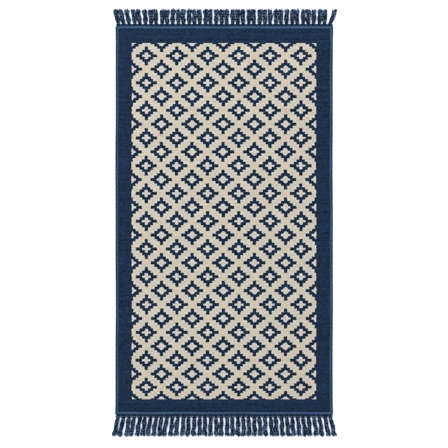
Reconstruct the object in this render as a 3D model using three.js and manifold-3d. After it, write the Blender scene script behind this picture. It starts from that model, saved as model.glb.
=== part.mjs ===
// A reversible flat-woven kilim rug with a fringe at both ends, lying flat. Sizes are in millimetres.
// X runs across the rug, Y along it and Z up. The origin is at the centre of the woven body's
// underside, which lies on z = 0.

import * as THREE from "three";
import { mergeVertices } from "three/addons/utils/BufferGeometryUtils.js";
import Module from "manifold-3d";

const wasm = await Module();
wasm.setup();

// The woven body, heading strips included
const BODY_WIDTH = 700;
const BODY_LENGTH = 1266;
const CLOTH_THICKNESS = 5;
const PARTING_GAP = 0.3;

// The cloth's top face beside each edge: how far it stands above or below the cloth's thickness, by
// the distance in from the edge. The sewn line is a low ridge with a groove beside it.
const SELVEDGE_PROFILE = [
  { inset: 0, lift: -2.4 },
  { inset: 1.3, lift: -0.6 },
  { inset: 3.2, lift: 0 },
  { inset: 4.3, lift: -0.8 },
  { inset: 6.7, lift: 0.2 },
  { inset: 9.1, lift: -0.8 },
  { inset: 11.2, lift: 0 },
];
const END_PROFILE = [
  { inset: 0, lift: -0.9 },
  { inset: 3.6, lift: 0.2 },
  { inset: 7.0, lift: -0.8 },
  { inset: 9.4, lift: 0 },
];

// Spacing of the plain grid lines between the edge profiles
const PLAIN_COLUMN = 130;
const PLAIN_ROW = 52;

// The long sides stray in slow waves, and swell a little where the sewn line turns each corner
const SIDE_WAVES = [
  { out: 0.45, period: 760, left: 0.6, right: 2.9 },
  { out: 0.3, period: 310, left: 4.1, right: 1.2 },
];
const CORNER_SWELL = 0.9;
const CORNER_SWELL_LENGTH = 30;

// Yarn of the fringe: each strand is four-sided, flat below and narrower above
const TASSELS = 40;
const STRANDS_IN_TASSEL = 3;
const STRAND_WIDTH = 3.8;
const STRAND_TOP_WIDTH = 2.2;
const STRAND_HEIGHT = 3.6;
const STRAND_CLEARANCE = 0.4;
const ROOT_DEPTH = 2;
const ROOT_SPACING = 4.2;
const TIP_TAPER = 0.8;

// The heading strip: its top slopes down from the cloth to the tassel heads, which stand out from it
const STRIP_INNER_HEIGHT = 4.6;
const STRIP_OUTER_HEIGHT = 4.1;
const STRIP_CORNER_TAPER = 1.8;
const HEAD_WIDTH = 12.8;
const HEAD_END_WIDTH = 12.4;
const HEAD_LENGTH = 3.5;

// The two ends. Each is described as the top end, with X to the right and Y outwards, and the bottom
// one is then turned by half a turn. drift is how far the tips lie to the right of their roots, by the
// place across the rug. Beside that, neighbouring tassels lean together by up to pairLean.
const ENDS = [
  {
    name: "fringe_top",
    turn: 0,
    heading: 7.4,
    length: 46.5,
    tipSpacing: 5,
    steps: 3,
    pairLean: 4,
    seed: 0.7,
    drift: [
      { across: -350, lean: -13 },
      { across: -290, lean: -7 },
      { across: -200, lean: 0 },
      { across: 230, lean: 0 },
      { across: 325, lean: 3 },
      { across: 350, lean: 23.5 },
    ],
  },
  {
    name: "fringe_bottom",
    turn: Math.PI,
    heading: 6.2,
    length: 63,
    tipSpacing: 4.7,
    steps: 4,
    pairLean: 1.4,
    seed: 2.3,
    drift: [
      { across: -350, lean: -15 },
      { across: -290, lean: -8 },
      { across: -120, lean: -3 },
      { across: 100, lean: 2 },
      { across: 180, lean: 9 },
      { across: 310, lean: 11 },
      { across: 350, lean: 15 },
    ],
  },
];

// Irregular but repeatable spread, from -1 to 1: multiples of the golden angle never fall in step
const GOLDEN_ANGLE = 2.399963;
const LENGTH_SPREAD = 2;
const PITCH_SPREAD = 0.7;
const LEAN_SPREAD = 1.5;
const STRAND_SPREAD = 0.5;
const APART_PASSES = 60;

// Strands bend over most near their roots: the power of the share of their length
const BEND_POWER = 0.85;

const NAVY_YARN = { color: 0x22354f, roughness: 0.95, metalness: 0 };
const BEIGE_YARN = { color: 0xcbc5b6, roughness: 0.95, metalness: 0 };

// Irregular numbers from -1 to 1
function unevenness(index, seed) {
  return Math.sin(index * GOLDEN_ANGLE + seed);
}

// Reads a table of rows at a place between two of them, or at its first or last row
function between(rows, key, value, place) {
  const last = rows.findIndex((row) => row[key] >= place);
  if (last <= 0) {
    return rows.at(last)[value];
  }
  const from = rows[last - 1];
  const to = rows[last];
  return THREE.MathUtils.mapLinear(place, from[key], to[key], from[value], to[value]);
}

// A closed geometry as a solid that can be joined to others
function toSolid(geometry) {
  const bare = geometry.clone();
  bare.deleteAttribute("normal");
  bare.deleteAttribute("uv");
  const merged = mergeVertices(bare);
  const mesh = new wasm.Mesh({
    numProp: 3,
    vertProperties: new Float32Array(merged.attributes.position.array),
    triVerts: new Uint32Array(merged.index.array),
  });
  return new wasm.Manifold(mesh);
}

function toGeometry(solid) {
  const mesh = solid.getMesh();
  const geometry = new THREE.BufferGeometry();
  geometry.setAttribute("position", new THREE.BufferAttribute(mesh.vertProperties, 3));
  geometry.setIndex(new THREE.BufferAttribute(mesh.triVerts, 1));
  geometry.computeVertexNormals();
  return geometry;
}

// Calls place(point) for each vertex of a geometry, which moves it
function reshape(geometry, place) {
  const points = geometry.attributes.position;
  const point = new THREE.Vector3();
  for (let i = 0; i < points.count; i += 1) {
    point.fromBufferAttribute(points, i);
    place(point);
    points.setXYZ(i, point.x, point.y, point.z);
  }
  return geometry;
}

// Grid lines across a size: the profile's own at both edges and plain ones between
function gridLines(size, profile, pitch) {
  const near = profile.map(({ inset }) => inset - size / 2);
  const far = near.map((line) => -line).reverse();
  const plain = [];
  for (let line = near.at(-1) + pitch; line < far[0] - pitch / 2; line += pitch) {
    plain.push(line);
  }
  return [...near, ...plain, ...far];
}

// How far one long side stands out from its straight line
function sideStray(side, along) {
  let out = 0;
  for (const wave of SIDE_WAVES) {
    out += wave.out * Math.sin((2 * Math.PI * along) / wave.period + wave[side]);
  }
  const fromEnd = BODY_LENGTH / 2 - Math.abs(along);
  return out + CORNER_SWELL * Math.exp(-((fromEnd / CORNER_SWELL_LENGTH) ** 2));
}

// Moves a place across the rug with the stray of both long sides
function strayed(across, along) {
  const share = across / BODY_WIDTH + 0.5;
  return across + share * sideStray("right", along) - (1 - share) * sideStray("left", along);
}

// The cloth: a box of grid lines whose top points follow the edge profiles. At a corner the grooves
// deepen each other, and the two ridges run into one.
function clothGeometry() {
  const [top, bottom] = ENDS;
  const highEnd = BODY_LENGTH / 2 - top.heading - PARTING_GAP;
  const lowEnd = bottom.heading + PARTING_GAP - BODY_LENGTH / 2;
  const length = highEnd - lowEnd;
  const middle = (highEnd + lowEnd) / 2;
  const columns = gridLines(BODY_WIDTH, SELVEDGE_PROFILE, PLAIN_COLUMN);
  const rows = gridLines(length, END_PROFILE, PLAIN_ROW);
  const box = new THREE.BoxGeometry(1, 1, 1, columns.length - 1, rows.length - 1, 1);
  return reshape(box, (point) => {
    const across = columns[Math.round((point.x + 0.5) * (columns.length - 1))];
    const along = rows[Math.round((point.y + 0.5) * (rows.length - 1))];
    const sideLift = between(SELVEDGE_PROFILE, "inset", "lift", BODY_WIDTH / 2 - Math.abs(across));
    const endLift = between(END_PROFILE, "inset", "lift", length / 2 - Math.abs(along));
    const sunk = Math.min(sideLift, 0) + Math.min(endLift, 0);
    const ridge = Math.max(sideLift, endLift, 0);
    point.z = point.z > 0 ? CLOTH_THICKNESS + sunk + ridge : 0;
    point.y = along + middle;
    point.x = strayed(across, point.y);
  });
}

// Where the tassels of one end leave the heading strip
function tasselRoots(end) {
  const margin = HEAD_WIDTH / 2 + STRIP_CORNER_TAPER + STRAND_CLEARANCE;
  const pitch = (BODY_WIDTH - 2 * margin) / (TASSELS - 1);
  return Array.from({ length: TASSELS }, (_, i) => {
    const isOutermost = i === 0 || i === TASSELS - 1;
    const spread = isOutermost ? 0 : PITCH_SPREAD * unevenness(i, end.seed);
    return margin + pitch * i - BODY_WIDTH / 2 + spread;
  });
}

// Pushes neighbours apart until each pair keeps the least spacing
function pushApart(places, least) {
  for (let pass = 0; pass < APART_PASSES; pass += 1) {
    for (let i = 1; i < places.length; i += 1) {
      const short = Math.max(0, least - (places[i] - places[i - 1]));
      places[i - 1] -= short / 2;
      places[i] += short / 2;
    }
  }
}

// For each strand, the places of its centre across the rug, from its root to its tip
function strandPaths(end) {
  const middle = (STRANDS_IN_TASSEL - 1) / 2;
  const starts = [];
  tasselRoots(end).forEach((root, tassel) => {
    const pair = Math.floor(tassel / 2);
    const towardsPartner = tassel % 2 === 0 ? end.pairLean : -end.pairLean;
    const pairShare = (1 + unevenness(pair, end.seed)) / 2;
    const drift = between(end.drift, "across", "lean", root);
    const lean = drift + towardsPartner * pairShare + LEAN_SPREAD * unevenness(tassel, 2 * end.seed);
    for (let strand = 0; strand < STRANDS_IN_TASSEL; strand += 1) {
      const spread = STRAND_SPREAD * unevenness(starts.length, 3 * end.seed);
      const offset = strand - middle;
      starts.push({
        root: root + offset * ROOT_SPACING,
        tip: root + lean + offset * end.tipSpacing + spread,
        length: end.length + LENGTH_SPREAD * unevenness(starts.length, end.seed),
      });
    }
  });
  const levels = [starts.map(({ root }) => root)];
  for (let step = 1; step <= end.steps; step += 1) {
    const share = (step / end.steps) ** BEND_POWER;
    const level = starts.map(({ root, tip }) => THREE.MathUtils.lerp(root, tip, share));
    pushApart(level, STRAND_WIDTH + STRAND_CLEARANCE);
    levels.push(level);
  }
  return starts.map(({ length }, i) => ({ length, centres: levels.map((level) => level[i]) }));
}

// One strand lying on the floor, from inside its tassel's head out to its tip
function strandGeometry(end, path) {
  const start = BODY_LENGTH / 2 + HEAD_LENGTH - ROOT_DEPTH;
  const length = path.length - HEAD_LENGTH + ROOT_DEPTH;
  const box = new THREE.BoxGeometry(1, 1, 1, 1, end.steps, 1);
  return reshape(box, (point) => {
    const step = Math.round((point.y + 0.5) * end.steps);
    const slim = step === end.steps ? TIP_TAPER : 1;
    const isTop = point.z > 0;
    const width = isTop ? STRAND_TOP_WIDTH : STRAND_WIDTH;
    point.x = path.centres[step] + point.x * width * slim;
    point.y = start + (length * step) / end.steps;
    point.z = isTop ? STRAND_HEIGHT * slim : 0;
  });
}

// The heading strip with its tassel heads: its outline on the floor, raised to its sloping top
function stripGeometry(end) {
  const inner = BODY_LENGTH / 2 - end.heading;
  const outer = BODY_LENGTH / 2;
  const way = end.turn === 0 ? 1 : -1;
  const left = way * strayed((-way * BODY_WIDTH) / 2, way * inner);
  const right = way * strayed((way * BODY_WIDTH) / 2, way * inner);
  const outline = new THREE.Shape();
  outline.moveTo(left, inner);
  outline.lineTo(right, inner);
  outline.lineTo(right - STRIP_CORNER_TAPER, outer);
  for (const root of tasselRoots(end).reverse()) {
    outline.lineTo(root + HEAD_WIDTH / 2, outer);
    outline.lineTo(root + HEAD_END_WIDTH / 2, outer + HEAD_LENGTH);
    outline.lineTo(root - HEAD_END_WIDTH / 2, outer + HEAD_LENGTH);
    outline.lineTo(root - HEAD_WIDTH / 2, outer);
  }
  outline.lineTo(left + STRIP_CORNER_TAPER, outer);
  const strip = new THREE.ExtrudeGeometry(outline, { depth: 1, bevelEnabled: false });
  return reshape(strip, (point) => {
    point.z *= point.y > inner ? STRIP_OUTER_HEIGHT : STRIP_INNER_HEIGHT;
  });
}

function fringeGeometry(end) {
  let solid = toSolid(stripGeometry(end));
  for (const path of strandPaths(end)) {
    solid = solid.add(toSolid(strandGeometry(end, path)));
  }
  return toGeometry(solid);
}

const rug = new THREE.Group();

const cloth = new THREE.Mesh(clothGeometry(), new THREE.MeshStandardMaterial(BEIGE_YARN));
cloth.name = "rug_cloth";
rug.add(cloth);

for (const end of ENDS) {
  const fringe = new THREE.Mesh(fringeGeometry(end), new THREE.MeshStandardMaterial(NAVY_YARN));
  fringe.name = end.name;
  fringe.rotation.z = end.turn;
  rug.add(fringe);
}

export default rug;
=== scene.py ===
"""A reversible flat-woven kilim rug with tasselled ends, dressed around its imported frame.

Lengths are in metres. X runs across the rug, Y along it and Z up, and the rug lies on z = 0.
"""

import logging
import math
from collections.abc import Callable, Iterable
from dataclasses import dataclass
from enum import Enum
from functools import cache, partial
from typing import Any

import bmesh
import bpy
import numpy as np
from bpy.types import Material, Mesh, Node, NodeSocket, NodeTree, Object
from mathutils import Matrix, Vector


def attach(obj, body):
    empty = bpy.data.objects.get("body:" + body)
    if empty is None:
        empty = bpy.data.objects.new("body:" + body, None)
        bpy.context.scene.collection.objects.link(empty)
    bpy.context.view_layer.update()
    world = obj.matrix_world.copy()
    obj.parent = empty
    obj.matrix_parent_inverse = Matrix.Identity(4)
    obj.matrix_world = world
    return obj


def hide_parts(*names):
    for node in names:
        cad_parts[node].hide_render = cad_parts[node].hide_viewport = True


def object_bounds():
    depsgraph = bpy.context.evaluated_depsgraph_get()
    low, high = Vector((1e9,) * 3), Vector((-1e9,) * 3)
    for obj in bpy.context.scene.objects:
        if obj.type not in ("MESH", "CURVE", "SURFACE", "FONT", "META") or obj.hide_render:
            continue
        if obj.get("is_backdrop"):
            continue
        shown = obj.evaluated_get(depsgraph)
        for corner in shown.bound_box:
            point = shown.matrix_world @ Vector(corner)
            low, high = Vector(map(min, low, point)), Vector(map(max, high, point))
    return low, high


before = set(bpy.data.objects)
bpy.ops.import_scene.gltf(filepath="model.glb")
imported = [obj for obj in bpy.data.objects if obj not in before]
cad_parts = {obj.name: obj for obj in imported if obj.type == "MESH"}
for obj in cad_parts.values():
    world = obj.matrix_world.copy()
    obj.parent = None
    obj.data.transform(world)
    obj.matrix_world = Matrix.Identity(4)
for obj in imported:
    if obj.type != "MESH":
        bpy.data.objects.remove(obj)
CAD_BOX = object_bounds()

MM = 0.001
# Multiples of the golden angle never fall in step, so their sines spread evenly but look uneven
GOLDEN_ANGLE = 2.399963
# Times an unevenness, this gives nearly any phase of a wave
PHASES = 6

# Pairs of a place and the value there, both in millimetres unless their class says otherwise
Pairs = tuple[tuple[float, float], ...]
# Rows of a distance in millimetres and three values there
Profile = tuple[tuple[float, float, float, float], ...]
AddNode = Callable[..., Node]

log = logging.getLogger("kilim_rug")


# Helpers


def srgb(code: str) -> tuple[float, ...]:
    """Turns a colour from sRGB hex to the linear values that shaders use.

    Args:
        code: six hex digits.

    Returns:
        Red, green, blue and an alpha of 1.
    """
    parts = [int(code[place : place + 2], 16) / 255 for place in (0, 2, 4)]
    linear = [part / 12.92 if part <= 0.04045 else ((part + 0.055) / 1.055) ** 2.4 for part in parts]
    return (*linear, 1.0)


def add_node(tree: NodeTree, kind: str, inputs: dict[Any, Any] | None = None, **settings: Any) -> Node:
    """Adds a shader node with its settings and links.

    Args:
        tree: the tree that gets the node.
        kind: the node's type without its leading ShaderNode.
        inputs: for each input, by name or place, a value, a socket, or a node whose first output in
            use it reads.
        settings: the node's own settings.

    Returns:
        The node.
    """
    node = tree.nodes.new("ShaderNode" + kind)
    for name, value in settings.items():
        setattr(node, name, value)
    for place, value in (inputs or {}).items():
        if isinstance(value, Node):
            value = next(output for output in value.outputs if output.enabled)
        if isinstance(value, NodeSocket):
            tree.links.new(value, node.inputs[place])
        else:
            node.inputs[place].default_value = value
    return node


def new_material(name: str) -> tuple[Material, AddNode]:
    """Makes an empty node material.

    Args:
        name: the material's name.

    Returns:
        The material, and add_node for its tree.
    """
    material = bpy.data.materials.new(name)
    material.use_nodes = True
    material.node_tree.nodes.clear()
    return material, partial(add_node, material.node_tree)


def new_object(name: str, data: Mesh | bpy.types.Camera | bpy.types.Light) -> Object:
    """Puts a mesh, a camera or a light into the scene.

    Args:
        name: the object's name.
        data: what it shows.

    Returns:
        The object, at the origin.
    """
    item = bpy.data.objects.new(name, data)
    bpy.context.scene.collection.objects.link(item)
    return item


def store_attribute(mesh: Mesh, name: str, values: np.ndarray) -> None:
    """Stores a number or a vector for each vertex of a mesh.

    Args:
        mesh: the mesh.
        name: the attribute's name.
        values: one number, or x, y and z, for each vertex.
    """
    is_vector = values.size == 3 * len(mesh.vertices)
    attribute = mesh.attributes.new(name, "FLOAT_VECTOR" if is_vector else "FLOAT", "POINT")
    attribute.data.foreach_set("vector" if is_vector else "value", values.astype(np.float32).ravel())


def unevenness(index: np.ndarray | float, seed: float) -> np.ndarray | float:
    """Irregular but repeatable numbers from -1 to 1, the same as in the solids."""
    return np.sin(np.asarray(index) * GOLDEN_ANGLE + seed)


def read_pairs(pairs: Pairs, place: np.ndarray) -> np.ndarray:
    """Reads pairs in millimetres at places in metres, and gives metres."""
    places, values = np.array(pairs).T * MM
    return np.interp(place, places, values)


@dataclass(frozen=True)
class Template:
    """A small closed shape that is repeated many times.

    Attributes:
        points: x, y and z of each vertex.
        corners: the vertex of each face corner, face after face.
        starts: the place in corners where each face starts.
    """

    points: np.ndarray
    corners: np.ndarray
    starts: np.ndarray

    @classmethod
    def taken_from(cls, shape: bmesh.types.BMesh) -> "Template":
        """Reads a closed shape into a template and frees it.

        Args:
            shape: the shape.

        Returns:
            The template, with its faces pointing out.
        """
        bmesh.ops.recalc_face_normals(shape, faces=shape.faces[:])
        shape.verts.index_update()
        points = np.array([vert.co[:] for vert in shape.verts])
        corners = [vert.index for face in shape.faces for vert in face.verts]
        sizes = [len(face.verts) for face in shape.faces]
        shape.free()
        return cls(points, np.array(corners), np.cumsum([0, *sizes[:-1]]))


def dress(item: Object, material: Material, node: str | None = None) -> None:
    """Gives a piece its material, hangs it from the root, and hides the solid that it replaces, if any.

    Args:
        item: the piece.
        material: its finish.
        node: the solid that it replaces, if any.
    """
    item.data.materials.append(material)
    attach(item, "root")
    if node:
        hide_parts(node)
    log.info("%s: %d faces", item.name, len(item.data.polygons))


# The rug's sizes


@dataclass(frozen=True)
class Wave:
    """A slow wave in the long sides: its height, its length along the rug, and its phase on either side."""

    out: float
    period: float
    left: float
    right: float


@dataclass(frozen=True)
class Body:
    """The woven body: its size and its slightly uneven long sides, as in the solids."""

    width: float = 700 * MM
    length: float = 1266 * MM
    thickness: float = 5 * MM
    parting_gap: float = 0.3 * MM
    corner_swell: float = 0.9 * MM
    corner_swell_length: float = 30 * MM
    waves: tuple[Wave, ...] = (
        Wave(out=0.45 * MM, period=760 * MM, left=0.6, right=2.9),
        Wave(out=0.3 * MM, period=310 * MM, left=4.1, right=1.2),
    )

    def stray(self, side: str, along: np.ndarray | float) -> np.ndarray:
        """How far one long side stands out from its straight line.

        Args:
            side: left or right.
            along: the place along the rug.

        Returns:
            The distance outwards.
        """
        from_end = self.length / 2 - np.abs(along)
        out = self.corner_swell * np.exp(-((from_end / self.corner_swell_length) ** 2))
        for wave in self.waves:
            out = out + wave.out * np.sin(2 * math.pi * along / wave.period + getattr(wave, side))
        return out

    def strayed(self, across: np.ndarray | float, along: np.ndarray | float) -> np.ndarray:
        """Moves a place across the rug with the stray of both long sides.

        Args:
            across: the place across a straight-sided rug.
            along: the place along the rug.

        Returns:
            The place across the real one.
        """
        share = across / self.width + 0.5
        return across + share * self.stray("right", along) - (1 - share) * self.stray("left", along)


@dataclass(frozen=True)
class EndSizes:
    """One fringed end, described as the top one, with X to the right and Y outwards.

    Attributes:
        way: 1 at the top end and -1 at the bottom one.
        heading_tones: how light the heading's outer and inner cords are, from 0 to 1.
        loop_start: how far out the loop's ends lie.
        loop_reach: how much further out its middle lies.
        parting: how far the two legs in which a tassel's strands leave the loop part, at most.
        spreads: how far its outer strands lie from its middle, by the distance out from the body's end.
        tip_spacing: spacing of three strands at its tip.
        drift: how far the tips lie to the right of their roots, by the place across the rug.
        pair_lean: how far two neighbours lean together, at most. In the solids it is more.
        steps: steps in which the solids' strands bend.
    """

    node: str
    way: int
    heading: float
    heading_tones: tuple[float, float]
    loop_width: float
    loop_start: float
    loop_reach: float
    loop_radius: float
    length: float
    parting: float
    spreads: Pairs
    tip_spacing: float
    drift: Pairs
    pair_lean: float
    steps: int
    side_fibres: int
    seed: float


class End(Enum):
    """The rug's two ends."""

    TOP = EndSizes(
        node="fringe_top",
        way=1,
        heading=7.4 * MM,
        heading_tones=(0.34, 0.48),
        loop_width=11.0 * MM,
        loop_start=-0.3 * MM,
        loop_reach=2.2 * MM,
        loop_radius=1.5 * MM,
        length=46.5 * MM,
        parting=0.5 * MM,
        spreads=((2, 3.7), (5, 4.3), (8, 5.2), (14, 5.5), (17, 5.7), (46, 5.8)),
        tip_spacing=5 * MM,
        drift=((-350, -13), (-290, -7), (-200, 0), (230, 0), (325, 3), (350, 23.5)),
        pair_lean=0.9 * MM,
        steps=3,
        side_fibres=38,
        seed=0.7,
    )
    BOTTOM = EndSizes(
        node="fringe_bottom",
        way=-1,
        heading=6.2 * MM,
        heading_tones=(0.05, 0.56),
        loop_width=17.8 * MM,
        loop_start=1.1 * MM,
        loop_reach=2.1 * MM,
        loop_radius=2.1 * MM,
        length=63 * MM,
        parting=1.5 * MM,
        spreads=((2, 4.6), (7, 4.0), (11, 4.3), (18, 5.0), (35, 5.1), (48, 4.9), (58, 6.2)),
        tip_spacing=4.7 * MM,
        drift=((-350, -15), (-290, -8), (-120, -3), (100, 2), (180, 9), (310, 11), (350, 15)),
        pair_lean=0.9 * MM,
        steps=4,
        side_fibres=26,
        seed=2.3,
    )


# The cloth's finish


@dataclass(frozen=True)
class Chart:
    """The stepped diamond, charted in warps across and weft rows along, from a motif's middle.

    A shape is given as (row, warps) pairs: up to that row from its middle it is so many warps wide each way.

    Attributes:
        repeat: warps and rows from one motif to the next one beside or above it.
        cross_outline: the motifs with a cross inside, which are those of every second row.
        lozenge_outline: the motifs between them, with a lozenge inside.
        field_warps: the first and the last warp of the patterned field.
        field_rows: its first and its last weft row.
    """

    repeat: tuple[int, int] = (22, 36)
    cross_outline: Pairs = ((2.12, 7.85), (5.35, 5.0), (8.25, 3.15), (12.95, 1.25))
    lozenge_outline: Pairs = ((2.12, 7.85), (5.35, 5.25), (8.25, 3.2), (12.95, 1.25))
    cross: Pairs = ((1.25, 3.1), (4.0, 1.15), (4.5, 0.8))
    lozenge: Pairs = ((1.2, 3.25), (2.6, 1.8), (3.85, 1.3), (4.65, 0.7))
    field_warps: tuple[float, float] = (-65.8, 65.9)
    field_rows: tuple[float, float] = (-233.4, 233.6)

    def group(self) -> NodeTree:
        """Makes the group that gives 1 on navy and 0 on beige for warps and weft rows.

        Returns:
            The group.
        """
        group = bpy.data.node_groups.new("stepped_diamonds", "ShaderNodeTree")
        group.interface.new_socket("Threads", in_out="INPUT", socket_type="NodeSocketVector")
        group.interface.new_socket("Navy", in_out="OUTPUT", socket_type="NodeSocketFloat")
        add = partial(add_node, group)
        half_warps, half_rows = self.repeat[0] / 2, self.repeat[1] / 2
        sides = add("SeparateXYZ", {0: group.nodes.new("NodeGroupInput")})
        warp, row = sides.outputs["X"], sides.outputs["Y"]
        between_warps = add("Math", {0: warp, 1: half_warps}, operation="PINGPONG")
        on_warps = add("Math", {0: half_warps, 1: between_warps}, operation="SUBTRACT")
        on_rows = add("Math", {0: row, 1: half_rows}, operation="PINGPONG")
        between_rows = add("Math", {0: half_rows, 1: on_rows}, operation="SUBTRACT")
        navy = 0.0
        for warps, rows, outline, inside in (
            (on_warps, on_rows, self.cross_outline, self.cross),
            (between_warps, between_rows, self.lozenge_outline, self.lozenge),
        ):
            motif = self._within(add, warps, rows, outline)
            light = self._within(add, warps, rows, inside)
            ring = add("Math", {0: motif, 1: light}, operation="SUBTRACT")
            navy = add("Math", {0: ring, 1: navy}, operation="ADD")
        for place, (first, last) in ((warp, self.field_warps), (row, self.field_rows)):
            distance = add("Math", {0: place, 1: (first + last) / 2}, operation="SUBTRACT")
            distance = add("Math", {0: distance}, operation="ABSOLUTE")
            outside = add("Math", {0: distance, 1: (last - first) / 2}, operation="GREATER_THAN")
            navy = add("Math", {0: navy, 1: outside}, operation="MAXIMUM")
        group.links.new(navy.outputs[0], group.nodes.new("NodeGroupOutput").inputs[0])
        return group

    def _within(self, add: AddNode, warps: Node, rows: Node, bands: Pairs) -> Node:
        """Adds a stepped shape: 1 inside its bands and 0 outside.

        Args:
            add: adds a node.
            warps: warps from the motif's middle.
            rows: rows from the motif's middle.
            bands: (row, warps) pairs, outwards.

        Returns:
            The node that gives 1 or 0.
        """
        most_warps, most_rows = self.repeat[0] / 2, self.repeat[1] / 2
        share = add("Math", {0: rows, 1: most_rows}, operation="DIVIDE")
        ramp = add("ValToRGB", {"Fac": share})
        ramp.color_ramp.interpolation = "CONSTANT"
        stops = ramp.color_ramp.elements
        inner_row = 0.0
        for number, (last_row, width) in enumerate((*bands, (most_rows, -1.0))):
            stop = stops[number] if number < len(stops) else stops.new(inner_row / most_rows)
            stop.position = inner_row / most_rows
            stop.color = (*[max(width, 0) / most_warps] * 3, 1)
            inner_row = last_row
        width = add("Math", {0: ramp, 1: most_warps}, operation="MULTIPLY")
        return add("Math", {0: warps, 1: width}, operation="LESS_THAN")


@dataclass(frozen=True)
class Threads:
    """The threads that run one way, numbered from the field's middle.

    Attributes:
        last: the last thread, each way, that is drawn in more than the one before it.
        low: below thread 0, the share by which the last one is drawn in, and the power by which that grows.
        high: the same above thread 0.
        drift: how much wider each spacing is than the one before it, as a share of the pitch.
    """

    pitch: float
    middle: float
    last: float
    low: tuple[float, int]
    high: tuple[float, int]
    drift: float

    def place(self, number: np.ndarray) -> np.ndarray:
        """Finds threads.

        Args:
            number: the threads' numbers, whole or not.

        Returns:
            Their places.
        """
        share, power = (np.where(number < 0, low, high) for low, high in zip(self.low, self.high))
        inside = np.clip(number, -self.last, self.last)
        drawn = inside * (1 - share * np.abs(inside / self.last) ** power) + self.drift * inside**2
        slope = 1 - (1 + power) * share + 2 * self.drift * inside
        return self.middle + self.pitch * (drawn + (number - inside) * slope)

    def number(self, place: np.ndarray) -> np.ndarray:
        """The number of the thread at a place."""
        numbers = np.arange(-300, 300, 0.05)
        return np.interp(place, self.place(numbers), numbers)


@dataclass(frozen=True)
class Loom:
    """Where each thread lies: warps are spaced across the rug and weft rows along it."""

    warps: Threads = Threads(
        pitch=4.578 * MM, middle=-3.05 * MM, last=66, low=(0.0133, 2), high=(0.0133, 2), drift=1.05e-4
    )
    rows: Threads = Threads(
        pitch=2.489 * MM, middle=-3.8 * MM, last=234, low=(0.0142, 12), high=(0.0091, 8), drift=-1.165e-5
    )


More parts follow.
